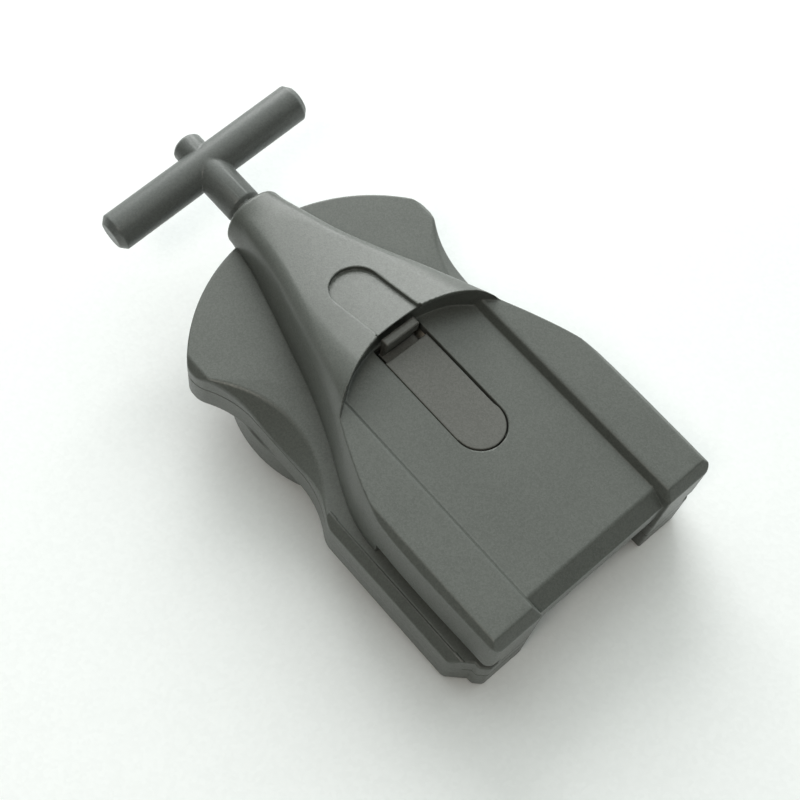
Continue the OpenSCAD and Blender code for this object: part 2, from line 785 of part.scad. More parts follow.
module retaining_ring() {
    color("#b9bcc0") translate([0, 0, ring_z]) difference() {
        cylinder(r = shaft_boss_r - boss_gap, h = ring_t);
        translate([0, 0, -overrun]) cylinder(r = shaft_r + seat_fit, h = ring_t + 2 * overrun);
    }
}

module spool() {
    color("#d9d4c4") difference() {
        union() {
            translate([0, 0, flange_low_z]) cylinder(r = flange_r, h = flange_t);
            translate([0, 0, flange_low_z]) cylinder(r = drum_r, h = flange_top_z - flange_low_z);
            translate([0, 0, flange_top_z - flange_t]) cylinder(r = flange_r, h = flange_t);
            translate([0, 0, web_z]) cylinder(r = barrel_r, h = web_t);
            difference() {
                translate([0, 0, barrel_z]) cylinder(r = barrel_r, h = barrel_top_z - barrel_z);
                translate([0, 0, barrel_z - overrun])
                    cylinder(r = barrel_r - barrel_wall, h = barrel_top_z);
            }
            for (turn = [0, 180]) rotate([0, 0, turn])
                translate([tip_gap + leaf_len, pawl_low_y + pawl_root_t + tip_gap, flange_top_z - flange_t / 2])
                    cube([leaf_seat, leaf_seat, pawl_t + flange_t / 2]);
        }
        translate([0, 0, web_z - overrun]) cylinder(r = shaft_r + run_fit, h = tall);
        for (turn = [0, 180]) rotate([0, 0, turn])
            translate([pivot_x, pivot_y, flange_top_z - flange_t])
                cylinder(r = pin_r + seat_fit, h = flange_t + overrun);
    }
}

// One pawl in the place of the left one
module pawl() {
    translate([0, 0, pawl_z]) difference() {
        union() {
            linear_extrude(height = pawl_t)
                polygon([[tip_gap, pawl_low_y], [pivot_x, pivot_y - pivot_eye_r / 2],
                    [pivot_x, pivot_y + pivot_eye_r / 2], [tip_gap, pawl_low_y + pawl_tip_t]]);
            translate([pivot_x, pivot_y, 0]) cylinder(r = pivot_eye_r, h = pawl_t);
        }
        translate([pivot_x, pivot_y, -overrun]) cylinder(r = pin_r + run_fit, h = pawl_t + 2 * overrun);
    }
}

module pawl_left() {
    color("#a7aab0") pawl();
}

module pawl_right() {
    color("#a7aab0") rotate([0, 0, 180]) pawl();
}

module pawl_pins() {
    color("#b9bcc0") for (turn = [0, 180]) rotate([0, 0, turn])
        translate([pivot_x, pivot_y, flange_top_z - flange_t])
            cylinder(r = pin_r, h = flange_t + pawl_gap + pawl_t);
}

module pawl_springs() {
    color("#c8ccd2") for (turn = [0, 180]) rotate([0, 0, turn])
        translate([leaf_seat, pawl_low_y + pawl_root_t + tip_gap, pawl_z])
            cube([leaf_len + tip_gap - leaf_seat, leaf_t, pawl_t]);
}

module recoil_spring() {
    inner = sleeve_r + spring_t / 4;
    outer = barrel_r - barrel_wall - spring_t - seat_fit;
    steps = 20;
    count = spring_turns * steps;
    radii = [for (i = [0:count]) inner + (outer - inner) * i / count];
    inside = [for (i = [0:count]) radii[i] * [cos(360 * i / steps), sin(360 * i / steps)]];
    outside = [for (i = [count:-1:0]) (radii[i] + spring_t) * [cos(360 * i / steps), sin(360 * i / steps)]];
    color("#9fa4aa") translate([0, 0, barrel_z + pass_gap])
        linear_extrude(height = web_z - barrel_z - 2 * pass_gap) polygon(concat(inside, outside));
}

module string_winding() {
    color("#2b2b2d") translate([0, 0, groove_z + seat_fit]) difference() {
        cylinder(r = winding_r, h = groove_h - 2 * seat_fit);
        translate([0, 0, -overrun]) cylinder(r = drum_r + seat_fit, h = groove_h + 2 * overrun);
    }
}

module string_lead() {
    color("#2b2b2d") {
        translate([lead_r * cos(lead_angle), lead_r * sin(lead_angle), string_z]) rotate([0, 0, lead_angle])
            rotate([-90, 0, 0]) cylinder(r = string_r, h = bend_y * cos(lead_angle) + string_r / 4);
        along_y(bend_y, string_r, bar_y + bar_r / 2 - bend_y);
    }
}

module string_knot() {
    color("#2b2b2d") along_y(bar_y + bar_r / 2, 2 * string_r, stub_len / 2);
}

module cord_guide() {
    color("#c9cdd0") difference() {
        along_y(guide_y, guide_r, guide_len);
        along_y(guide_y - overrun, guide_hole_r, guide_len + 2 * overrun);
        translate([0, guide_y - overrun / 2, string_z]) rotate([-90, 0, 0])
            cylinder(r1 = guide_hole_r + guide_flare, r2 = guide_hole_r, h = guide_len * bend_share);
    }
}

module pull_handle() {
    shoulder_y = nozzle_y + stem_gap;
    color("#4f5452") difference() {
        union() {
            translate([0, bar_y, string_z]) rotate([0, 90 - handle_roll, 0]) {
                cylinder(r = bar_r, h = bar_len - 2 * bar_chamfer, center = true);
                for (end = [0, 1]) mirror([0, 0, end]) translate([0, 0, bar_len / 2 - bar_chamfer])
                    cylinder(r1 = bar_r, r2 = bar_r - bar_chamfer, h = bar_chamfer);
            }
            along_y(shoulder_y, stem_r, bar_y - shoulder_y);
            along_y(nozzle_y - spigot_len, spigot_r, bar_y - nozzle_y + spigot_len);
            along_y(bar_y, stub_r, stub_len - bar_chamfer / 2);
            translate([0, bar_y + stub_len - bar_chamfer / 2, string_z]) rotate([-90, 0, 0])
                cylinder(r1 = stub_r, r2 = stub_r - bar_chamfer / 2, h = bar_chamfer / 2);
        }
        along_y(nozzle_y - spigot_len - overrun, string_r + seat_fit, bar_len);
        along_y(bar_y + bar_r / 2, 2 * string_r + seat_fit, stub_len);
    }
}

module grip_catch() {
    color("#5b554d") {
        translate([0, 0, catch_flange_z]) linear_extrude(height = floor_z - catch_flange_z)
            catch_plan(0, catch_front);
        translate([0, 0, catch_flange_z]) linear_extrude(height = catch_flange_t)
            catch_plan(catch_lip, catch_flange_front);
        translate([-nib_half_w, -catch_flange_front, catch_arm_z])
            cube([2 * nib_half_w, catch_flange_front - nib_back + nib_t, catch_arm_t]);
        translate([-nib_half_w, -nib_back, catch_arm_z])
            cube([2 * nib_half_w, nib_t, floor_z + nib_h - catch_arm_z]);
    }
}

module catch_spring() {
    low_end = catch_back - wall;
    high_end = keeper_front + wall;
    middle = (low_end + high_end) / 2;
    color("#c8ccd2") translate([-leaf_spring_half_w, 0, keeper_top_z]) rotate([90, 0, 90])
        linear_extrude(height = 2 * leaf_spring_half_w)
            polygon([[-low_end, 0], [-middle, leaf_rise - leaf_spring_t], [-high_end, 0],
                [-high_end, leaf_spring_t], [-middle, leaf_rise], [-low_end, leaf_spring_t]]);
}

module catch_keeper() {
    color("#6e716b") difference() {
        translate([-keeper_half_w, -catch_back, keeper_z])
            cube([2 * keeper_half_w, catch_back - keeper_front, keeper_t]);
        at_keeper_screws() translate([0, 0, keeper_z - overrun])
            cylinder(r = keeper_screw_r + seat_fit, h = keeper_t + 2 * overrun);
        at_cover_screws() translate([0, 0, keeper_z - overrun])
            cylinder(r = cover_post_r + pass_gap, h = keeper_t + 2 * overrun);
    }
}

module case_screws() {
    color("#8e9196") at_case_screws() {
        translate([0, 0, case_bottom_z + pass_gap]) cylinder(r = screw_head_r, h = screw_head_h);
        translate([0, 0, case_bottom_z + pass_gap]) cylinder(r = screw_r, h = case_h + deck_h - wall);
    }
}

module cover_screws() {
    color("#8e9196") at_cover_screws() {
        translate([0, 0, deck_under_z - screw_head_h]) cylinder(r = screw_head_r, h = screw_head_h);
        translate([0, 0, deck_under_z - screw_head_h])
            cylinder(r = screw_r, h = screw_head_h + wall + cover_screw_bite);
    }
}

module keeper_screws() {
    color("#8e9196") at_keeper_screws() {
        translate([0, 0, keeper_z - keeper_head_h]) cylinder(r = keeper_head_r, h = keeper_head_h);
        translate([0, 0, keeper_z - keeper_head_h])
            cylinder(r = keeper_screw_r, h = keeper_head_h + keeper_t + leaf_rise);
    }
}

lower_case();
deck();
top_cover();
launch_head();
drive_shaft();
shaft_bush();
thrust_washer();
ratchet_wheel();
retaining_ring();
spool();
pawl_left();
pawl_right();
pawl_pins();
pawl_springs();
recoil_spring();
string_winding();
string_lead();
string_knot();
cord_guide();
pull_handle();
grip_catch();
catch_spring();
catch_keeper();
case_screws();
cover_screws();
keeper_screws();
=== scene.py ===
# %% [markdown]
# # A string launcher for spinning tops
# The real toy is a set of satin grey plastic mouldings around a hidden string drum.
# The CAD model gives every piece its place and size. This script dresses it: the
# mouldings get the soft edges, hollow flanks and fine grain that a plain solid lacks.

# %% Load the frame
import math
import bpy
import numpy as np
from mathutils import Matrix, Vector


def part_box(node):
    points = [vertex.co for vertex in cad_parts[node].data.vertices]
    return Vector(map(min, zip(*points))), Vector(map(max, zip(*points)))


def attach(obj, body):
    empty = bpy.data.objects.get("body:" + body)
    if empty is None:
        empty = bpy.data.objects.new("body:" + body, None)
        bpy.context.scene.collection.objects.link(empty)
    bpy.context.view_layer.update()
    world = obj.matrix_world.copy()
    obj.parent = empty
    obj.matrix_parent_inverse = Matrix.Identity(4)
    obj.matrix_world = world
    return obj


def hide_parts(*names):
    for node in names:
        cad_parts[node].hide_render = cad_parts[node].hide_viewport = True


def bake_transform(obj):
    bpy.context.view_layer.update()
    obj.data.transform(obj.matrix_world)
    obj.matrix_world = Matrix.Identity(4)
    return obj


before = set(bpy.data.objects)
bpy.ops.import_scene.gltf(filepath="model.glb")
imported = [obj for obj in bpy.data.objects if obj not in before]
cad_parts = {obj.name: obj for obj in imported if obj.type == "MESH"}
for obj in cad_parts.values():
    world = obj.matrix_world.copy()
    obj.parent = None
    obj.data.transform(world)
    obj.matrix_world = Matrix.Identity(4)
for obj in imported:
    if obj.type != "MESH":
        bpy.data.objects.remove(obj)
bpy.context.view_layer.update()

# %% [markdown]
# ## Sizes from the frame
# Moulded parts are drawn in millimetres, so the boxes of the CAD nodes are read in
# millimetres too. Heights and lengths that the boxes give are never typed again,
# so the dressed model follows the CAD when a size changes.

# %% Sizes
MM = 0.001


def box_mm(node):
    low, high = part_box(node)
    return np.array(low) / MM, np.array(high) / MM


cover_low, cover_high = box_mm("top_cover")
deck_low, deck_high = box_mm("deck")
case_low, case_high = box_mm("lower_case")
handle_low, handle_high = box_mm("pull_handle")
catch_low, catch_high = box_mm("grip_catch")

deck_top, joint_z = deck_high[2], deck_low[2]
string_z = (handle_low[2] + handle_high[2]) / 2
nozzle_y, rear_y = cover_high[1], cover_low[1]
nozzle_r = string_z - cover_low[2]
CHANNEL_RISE, RAIL_RISE, HOOD_RISE, FLOOR_THICK = 11.6, 1.8, 4.3, 2.0
floor_z = deck_top + CHANNEL_RISE
rail_z = floor_z + RAIL_RISE
hood_z = rail_z + HOOD_RISE
floor_under_z = floor_z - FLOOR_THICK
wall = 1.8
print("deck top", round(deck_top, 2), "rails", round(rail_z, 2), "nozzle radius", round(nozzle_r, 2))

# %% [markdown]
# ## Distance fields
# Injection mouldings are blends of a few simple forms: planes, cylinders, cones. Each
# form is written as a distance in space, negative inside, and two forms are joined with
# a rounded edge. Polygon modelling with bevels could do it too, but a bevel fails where
# many curved faces meet, and here they meet everywhere.

# %% Blends of forms


def both(a, b, r):
    """Inside a and b, with the edge between them rounded to radius r."""
    return np.minimum(-r, np.maximum(a, b)) + np.hypot(np.maximum(r + a, 0), np.maximum(r + b, 0))


def either(a, b, r):
    """Inside a or b, with the corner between them filled to radius r."""
    return np.maximum(r, np.minimum(a, b)) - np.hypot(np.maximum(r - a, 0), np.maximum(r - b, 0))


def without(a, b, r):
    return both(a, -b, r)


def around_y(x, z, r):
    """A round bar along the string."""
    return np.hypot(x, z - string_z) - r


def post(x, y, px, py, r):
    return np.hypot(x - px, y - py) - r


def curve(v, points):
    """Smooth curve through a few (place, height) points."""
    places, heights = np.array(sorted(points), float).T
    slopes = np.gradient(heights, places)
    i = np.clip(np.searchsorted(places, v) - 1, 0, len(places) - 2)
    width = places[i + 1] - places[i]
    t = np.clip((v - places[i]) / width, 0, 1)
    rise = heights[i + 1] - heights[i]
    a = slopes[i] * width - rise
    b = rise - slopes[i + 1] * width
    return heights[i] + t * rise + t * (1 - t) * ((1 - t) * a + t * b)


# %% [markdown]
# ## From field to mesh
# The field is sampled on a fine grid. Every grid cell that the surface crosses gets one
# vertex, and neighbouring cells are joined by quads. A vertex in the middle of its cell
# would saw-tooth every sharp edge, so it goes where the planes through the cell's crossings
# meet best, a method known as dual contouring. Flat stretches are then thinned out, and the
# shading normals come from the field itself, so even coarse triangles look smooth.

# %% Skin a field
MIDDLE_PULL, CELL_EDGE = 0.03, 0.04
GRID_OFFSET = 2.37
FLAT_SLOPE = 0.05


def slope_of(field, p, h=0.02):
    """Gradient of the field at points p."""
    parts = []
    for axis in range(3):
        d = np.zeros(3)
        d[axis] = h
        parts.append((field(*(p + d).T) - field(*(p - d).T)) / (2 * h))
    return np.stack(parts, 1)


def fit_corners(cell, points, normals, low, step):
    """One point per cell, as near as can be to the planes of all its crossings."""
    count = np.bincount(cell)
    middle = np.stack([np.bincount(cell, points[:, i]) / count for i in range(3)], 1)
    off = ((points - middle[cell]) * normals).sum(1)
    left = np.zeros((len(count), 3, 3))
    right = np.zeros((len(count), 3))
    for i in range(3):
        right[:, i] = np.bincount(cell, off * normals[:, i])
        for j in range(3):
            left[:, i, j] = np.bincount(cell, normals[:, i] * normals[:, j])
        # a slight pull to the middle keeps flat cells from drifting
        left[:, i, i] += MIDDLE_PULL * count
    shift = np.linalg.solve(left, right[:, :, None])[:, :, 0]
    # a point that stays in its own cell never meets its neighbour
    return np.clip(middle + shift, low + CELL_EDGE * step, low + (1 - CELL_EDGE) * step)


def surface_net(field, low, high, step):
    # an odd offset keeps the grid off the flat faces
    axes = [np.arange(low[i] - GRID_OFFSET * step, high[i] + 3 * step, step, np.float32) for i in range(3)]
    origin = np.array([a[0] for a in axes], float)
    values = field(*np.meshgrid(*axes, indexing="ij"))
    inside = values < 0
    cells = np.array(inside.shape) - 1
    stride = np.array([cells[1] * cells[2], cells[2], 1])
    rings, points, normals = [], [], []
    for axis in range(3):
        first = [slice(None)] * 3
        second = [slice(None)] * 3
        first[axis], second[axis] = slice(None, -1), slice(1, None)
        first, second = tuple(first), tuple(second)
        at = np.argwhere(inside[first] != inside[second])
        v0, v1 = values[first][tuple(at.T)], values[second][tuple(at.T)]
        place = origin + at * step
        base = place[:, axis].copy()
        place[:, axis] += step * v0 / (v0 - v1)
        for _ in range(2):
            g = slope_of(field, place)
            along = np.where(np.abs(g[:, axis]) < FLAT_SLOPE, np.inf, g[:, axis])
            place[:, axis] = np.clip(place[:, axis] - field(*place.T) / along, base, base + step)
        points.append(place)
        normals.append(g / np.maximum(np.linalg.norm(g, axis=1), 1e-9)[:, None])
        b, c = [(1, 2), (2, 0), (0, 1)][axis]
        ring = []
        for db, dc in ((-1, -1), (0, -1), (0, 0), (-1, 0)):
            cell = at.copy()
            cell[:, b] += db
            cell[:, c] += dc
            ring.append(cell @ stride)
        ring = np.stack(ring, 1)
        ring[v0 > 0] = ring[v0 > 0][:, ::-1]
        rings.append(ring)
    rings = np.concatenate(rings)
    owner, cell = np.unique(rings.ravel(), return_inverse=True)
    crossing = np.repeat(np.arange(len(rings)), 4)
    points, normals = np.concatenate(points)[crossing], np.concatenate(normals)[crossing]
    low = origin + step * np.stack(np.unravel_index(owner, cells), 1)
    return fit_corners(cell.ravel(), points, normals, low, step), cell.reshape(-1, 4)


def mesh_from(name, points, faces):
    mesh = bpy.data.meshes.new(name)
    mesh.vertices.add(len(points))
    mesh.vertices.foreach_set("co", (points * MM).astype(np.float32).ravel())
    mesh.loops.add(faces.size)
    mesh.loops.foreach_set("vertex_index", faces.astype(np.int32).ravel())
    mesh.polygons.add(len(faces))
    mesh.polygons.foreach_set("loop_start", np.arange(0, faces.size, faces.shape[1], dtype=np.int32))
    mesh.update(calc_edges=True)
    return mesh


def skin(name, field, low, high, step, keep):
    """A closed mesh object on the surface of the field, thinned to the share keep."""
    points, faces = surface_net(field, low, high, step)
    obj = bpy.data.objects.new(name, mesh_from(name, points, faces))
    bpy.context.collection.objects.link(obj)
    thin = obj.modifiers.new("thin", "DECIMATE")
    thin.ratio = keep
    bpy.context.view_layer.update()
    mesh = bpy.data.meshes.new_from_object(obj.evaluated_get(bpy.context.evaluated_depsgraph_get()))
    obj.modifiers.clear()
    obj.data = mesh
    mesh.name = name
    p = np.empty(3 * len(mesh.vertices), np.float32)
    mesh.vertices.foreach_get("co", p)
    normals = slope_of(field, p.reshape(-1, 3).astype(float) / MM)
    normals /= np.maximum(np.linalg.norm(normals, axis=1), 1e-9)[:, None]
    mesh.shade_smooth()
    mesh.normals_split_custom_set_from_vertices(normals)
    print(name, len(faces), "quads thinned to", len(mesh.polygons), "faces")
    return obj


# %% [markdown]
# ## Top cover
# The cover is one moulding: a round nozzle, hollow flanks that flare to a hood, and behind
# the hood a grip channel between two rails. Its flanks rise upright to a soft ridge and
# lean inward above it. The roof is a saddle, arched across and hollow along the string.
# Arcs that touch each other keep the outline smooth, as a draughtsman would draw it.

# %% Outline of the cover
cover_half = cover_high[0]
RAIL_BEVEL = 1.0
# half width of the flanks at the deck and, on the leaning upper part, at the rails' height
FOOT = [
    (33, 6.05), (24.5, 7.33), (18.4, 8.9), (7.7, 12), (-2.9, 15.2), (-11.7, 18.6),
    (-21.1, 23.05), (-25.5, 24.75), (-30, 25.65), (-34, cover_half), (-62, cover_half),
]
SHOULDER = [
    (33, 2.6), (24.4, 4.5), (16.8, 6.5), (10.7, 8.8), (4, 11.7), (-1.4, 14.4), (-6.9, 17.1),
    (-9.5, 18.5), (-12.2, 19.9), (-14.5, 20.9), (-21, 23.3), (-27, 25.5), (-34, 26.6), (-62, 26.6),
]
LOW_LEAN, HIGH_LEAN = 0.03, 0.30
LEANING = [(62, 1), (0, 1), (-10, 1), (-24, 0), (-34, 0), (-62, 0)]


def lower_band(ax, y, z):
    return 0.95 * (ax - curve(y, FOOT) + LOW_LEAN * np.clip(z - deck_top, 0, None) * curve(y, LEANING))


def upper_flank(ax, y, z):
    return 0.92 * (ax - curve(y, SHOULDER) + HIGH_LEAN * (z - rail_z))


print("half width at the deck", [width for _, width in FOOT])

# %% [markdown]
# ## Roof of the hood
# Across, the roof is a flat arch. Along the string it is hollow, so it is the inside of a
# torus. Two points fix the torus: the top of the nozzle and the front of the hood's edge.

# %% Roof of the hood
ROOF_R = 90.0
SWEEP_R = 180.0
RIM_Y, RIM_R = -36.2, 29.0
rim_front = RIM_Y + RIM_R


def roof_axis():
    """Axis of the torus that touches the nozzle's top and the hood's edge."""
    run, climb = nozzle_y - rim_front, hood_z - string_z - nozzle_r
    chord = math.hypot(run, climb)
    stand = math.sqrt(SWEEP_R**2 - chord**2 / 4)
    middle_y, middle_z = (nozzle_y + rim_front) / 2, string_z + nozzle_r + climb / 2
    return middle_y + stand * climb / chord, middle_z + stand * run / chord


AXIS_Y, AXIS_Z = roof_axis()


def roof(x, y, z):
    return np.hypot(np.hypot(y - AXIS_Y, z - AXIS_Z) - SWEEP_R - ROOF_R, x) - ROOF_R


def behind_rim(x, y):
    """Negative behind the hood's edge, in plan."""
    return np.minimum(np.hypot(x, y - RIM_Y) - RIM_R, y + 16.2)


print("roof axis at", round(AXIS_Y, 1), round(AXIS_Z, 1))

# %% [markdown]
# ## Field of the cover
# The outside form comes first, then the hollow inside, then every cut: the space behind
# the hood, the channel, the rear lip, the side slots, the recess and the catch's window.

# %% Field of the cover
CONE_SLOPE = 0.35
CHANNEL_HALF, BANK_SLOPE = 15.2, 0.5
RECESS_HALF, RECESS_DEPTH = 4.7, 0.8
WINDOW_HALF, WINDOW_END = 5.15, -29.35
UNDERCUT = 0.8
SLOT_X, SLOT_FRONT, SLOT_RISE = 22.9, -33, 3
COVER_POSTS = [(px, py) for px in (-13, 13) for py in (-21.4, -52.2)]
FLOOR_END = -57.4
LIP, LIP_DROP = 0.8 * (FLOOR_END - rear_y), 2.5


def stadium(x, y, half, front, back):
    """Round-ended slot along the string."""
    return np.hypot(x, y - np.clip(y, back, front)) - half


# the foot stands a little off the deck beside the nozzle
WARP = [(60, 0), (25, 0), (23, 0.3), (20, 0.3), (18, 0), (10, 0), (-70, 0)]


def cover_shell(x, y, z):
    """Outside form of the cover."""
    ax = np.abs(x)
    cone = (around_y(x, z, nozzle_r) - CONE_SLOPE * (nozzle_y - y)) / math.hypot(1, CONE_SLOPE)
    form = both(lower_band(ax, y, z), upper_flank(ax, y, z), 0.8)
    form = both(form, roof(x, y, z), 1.8)
    form = both(form, cone, 1.5)
    form = both(form, y - nozzle_y, 0.8)
    form = both(form, rear_y - y, 1.6)
    form = both(form, (z - y - rail_z - 59.4) / math.sqrt(2), 0.15)
    form = both(form, (ax + z - cover_half - rail_z + RAIL_BEVEL) / math.sqrt(2), 0.12)
    return both(form, deck_top + 0.05 + curve(y, WARP) - z, 0.15)


def cover_inside(x, y, z):
    """Hollow of the cover, over the drive."""
    ax = np.abs(x)
    room = np.maximum(lower_band(ax, y, z), upper_flank(ax, y, z)) + wall
    room = both(room, roof(x, y, z) + RECESS_DEPTH + wall, 0.5)
    room = both(room, np.maximum(y - 22, FLOOR_END + wall - y), 0.5)
    slab = np.maximum(behind_rim(x, y) - UNDERCUT - wall, floor_under_z - z)
    rails = np.maximum(np.maximum(21.1 - ax, y + 31.2), z - 21.7)
    room = without(without(room, slab, 0.3), rails, 0.3)
    for px, py in COVER_POSTS:
        room = without(room, post(x, y, px, py, 2.6), 0.3)
    return without(room, np.maximum(post(x, y, 0, 0, 4), 24.6 - z), 0.3)


def cover_field(x, y, z):
    ax = np.abs(x)
    form = cover_shell(x, y, z)
    tube = both(around_y(x, z, nozzle_r), y - nozzle_y, 0.8)
    form = either(form, np.maximum(tube, 22 - y), 0.8)
    form = without(form, cover_inside(x, y, z), 0.1)
    rim = behind_rim(x, y)
    form = without(form, both(rim, rail_z - z, 0.3), 0.2)
    banks = (ax - CHANNEL_HALF - BANK_SLOPE * (z - floor_z)) / math.hypot(1, BANK_SLOPE)
    # the channel runs on under the hood's edge, but not at its two tips
    undercut = UNDERCUT * np.clip((15.5 - ax) / 4, 0, 1)
    channel = both(np.maximum(banks, rim - undercut), floor_z - z, 0.2)
    channel = np.maximum(channel, roof(x, y, z) + 1.2)
    form = without(form, channel, 0.35)
    slope_out = (LIP * (z - floor_z) - LIP_DROP * (y - FLOOR_END)) / math.hypot(LIP, LIP_DROP)
    rear = np.minimum(-slope_out, y - FLOOR_END + LIP)
    rear = np.minimum(rear, np.maximum(y - FLOOR_END, z - 20))
    form = without(form, np.maximum(ax - CHANNEL_HALF, rear), 0.25)
    slot = np.maximum(np.maximum(SLOT_X - ax, y - SLOT_FRONT), z - deck_top - SLOT_RISE)
    form = without(form, slot, 0.25)
    recess = np.maximum(stadium(x, y, RECESS_HALF, 3.8, -20), -roof(x, y, z) - RECESS_DEPTH)
    form = without(form, np.maximum(recess, floor_z - z), 0.2)
    window = np.maximum(ax - WINDOW_HALF, np.maximum(y - rim_front, WINDOW_END - y))
    window = np.minimum(window, post(x, y, 0, WINDOW_END, WINDOW_HALF))
    form = without(form, np.maximum(window, floor_under_z - 2 - z), 0.12)
    form = without(form, np.maximum(around_y(x, z, nozzle_r - wall), 21 - y), 0.4)
    return without(form, np.maximum(post(x, y, 0, 0, 2.2), z - 27.4), 0.1)


# %% [markdown]
# ## Skin of the cover
# A quarter of a millimetre is fine enough for the smallest radii. The skin rides on
# the housing and stands in for the CAD node.

# %% Skin of the cover
FINE = 0.25
cover = skin("cover", cover_field, cover_low, cover_high, FINE, 0.35)
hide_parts("top_cover")
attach(cover, "housing")

# %% [markdown]
# ## Deck
# Under the cover lies a lobed plate. A finger scoop is cut into each side by a leaning
# cylinder, and a faint crease crosses each lobe where the plate dips towards the scoop.

# %% Outline shared by deck and lower case
case_half = case_high[0]
case_bottom = 6.4
WAIST_X, WAIST_Y, WAIST_R, WAIST_RUN = 45.2, -5.6, 20.0, 13.0
STEP_X, STEP_Y, STEP_CUT = 25.9, -55.6, 1.4


def case_outline(x, y):
    ax = np.abs(x)
    form = both(np.hypot(x, np.maximum(y + 5.2, 0)) - 35.8, ax - case_half, 0.6)
    form = both(form, rear_y - y, 0.9)
    slant = (ax - case_half - y + STEP_Y) / math.sqrt(2)
    form = both(form, np.minimum(slant, ax - STEP_X), 0.5)
    form = both(form, (ax - y - STEP_X + rear_y + STEP_CUT) / math.sqrt(2), 0.3)
    form = without(form, np.maximum(ax - CHANNEL_HALF, y - FLOOR_END), 0.4)
    along = np.maximum(np.abs(y - WAIST_Y) - WAIST_RUN / 2, 0)
    return without(form, np.hypot(np.minimum(ax - WAIST_X, 0), along) - WAIST_R, 0.8)


print("case half width", round(case_half, 2), "waist at", WAIST_X - WAIST_R)

# %% [markdown]
# ## Field of the deck
# The scoops lean outward, so their edge on the deck is an ellipse. The plate is hollow
# below, with a post around each case screw and a round opening for the string drum.

# %% Field of the deck
DIP_X, DIP_Y, DIP_R, DIP_SLOPE = 38, -11.5, 24.2, 0.06
DRUM_R, SCREW_POST_R = 11.8, 3
STRIP_X, DECK_LIMIT = 27, 27.3
SCOOP_R = 33.0
scoop_lean = math.radians(50)
SCOOP_X = 20.6 + SCOOP_R / math.cos(scoop_lean)
CASE_SCREWS = [(22.5, 17.8), (-22.5, 17.8), (20, -48.96), (-20, -48.96)]


def scoop(x, y, z):
    across = (np.abs(x) - SCOOP_X) * math.cos(scoop_lean) + (z - deck_top) * math.sin(scoop_lean)
    return np.hypot(across, y - WAIST_Y) - SCOOP_R


def deck_field(x, y, z):
    ax = np.abs(x)
    outline = both(case_outline(x, y), np.minimum(-22.5 - y, ax - DECK_LIMIT), 0.2)
    dip = DIP_SLOPE * np.maximum(DIP_R - np.hypot(ax - DIP_X, y - DIP_Y), 0)
    form = both(outline, z - deck_top + dip, 0.35)
    form = both(form, (ax + z - case_half - deck_top + 1.3) / math.sqrt(2), 0.25)
    form = both(form, joint_z + 0.04 - z, 0.15)
    room = np.maximum(outline + wall, z - deck_top + wall + dip)
    room = without(room, scoop(x, y, z) - wall, 0.2)
    for px, py in CASE_SCREWS:
        room = without(room, post(x, y, px, py, SCREW_POST_R), 0.2)
    form = without(form, room, 0.1)
    form = without(form, scoop(x, y, z), 0.35)
    form = without(form, post(x, y, 0, 0, DRUM_R), 0.2)
    return without(form, np.maximum(around_y(x, z, nozzle_r + 0.06), 21.9 - y), 0.15)


deck = skin("deck_plate", deck_field, deck_low, deck_high, FINE, 0.35)
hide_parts("deck")
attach(deck, "housing")

# %% [markdown]
# ## Lower case
# A tray closes the case from below. It carries the round skirt around the launch head
# and two thin strips that stand beside the deck at the rear. Its bottom edge is well
# rounded, because this is where the hand closes around the toy.

# %% Field of the lower case
SKIRT_R, SKIRT_HALF = 24.5, 1.1
HUB_R, HUB_TOP = 4.6, 12.5
HEAD_R, SHANK_R, HEAD_DEPTH = 2.5, 1.24, 1.7
BUSH_R, BUSH_TOP, SHAFT_R = 3.44, 10, 2.3


def lower_field(x, y, z):
    ax = np.abs(x)
    r = np.hypot(x, y)
    outline = case_outline(x, y)
    form = both(both(outline, z - joint_z + 0.04, 0.15), case_bottom - z, 0.7)
    strip = np.maximum(z - deck_top - 0.15, joint_z - 2 - z)
    strip = both(np.maximum(STRIP_X - ax, y + 22.3), strip, 0.12)
    bevel = (ax + z - case_half - deck_top + 1.4) / math.sqrt(2)
    strip = both(both(outline, strip, 0.15), bevel, 0.15)
    form = either(form, strip, 0.05)
    room = np.maximum(outline + wall, case_bottom + wall - z)
    for px, py in CASE_SCREWS:
        room = without(room, post(x, y, px, py, SCREW_POST_R), 0.2)
    room = without(room, np.maximum(r - HUB_R, z - HUB_TOP), 0.2)
    form = without(form, room, 0.1)
    skirt = both(np.abs(r - SKIRT_R) - SKIRT_HALF, np.maximum(-z, z - case_bottom - 0.9), 0.4)
    form = either(form, skirt, 0.3)
    for px, py in CASE_SCREWS:
        hole = np.maximum(post(x, y, px, py, HEAD_R), z - case_bottom - HEAD_DEPTH)
        form = without(form, np.minimum(hole, post(x, y, px, py, SHANK_R)), 0.15)
    form = without(form, np.minimum(np.maximum(r - BUSH_R, z - BUSH_TOP), r - SHAFT_R), 0.1)
    return without(form, np.maximum(around_y(x, z, nozzle_r + 0.06), 22 - y), 0.15)


lower = skin("lower_tray", lower_field, case_low, case_high, FINE, 0.35)
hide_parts("lower_case")
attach(lower, "housing")

# %% [markdown]
# ## Pull handle
# The handle is a plain T: a round bar with bevelled ends on a stem, and a short stub where
# the string is knotted. Two bars crossing leave a crisp seam, so the blend there is small.

# %% Field of the handle
BAR_HALF, BAR_R, BAR_BEVEL = 23.0, 3.9, 1.2
STEM_R, STUB_R, END_BEVEL = 3.75, 3.2, 0.7
SPIGOT_R, KNOT_R, STRING_HOLE_R = 2.9, 1.36, 0.75
STUB_LEN, NOZZLE_GAP = 6.6, 1.8
ROLL = math.radians(7)
bar_y = handle_high[1] - STUB_LEN
shoulder_y = nozzle_y + NOZZLE_GAP


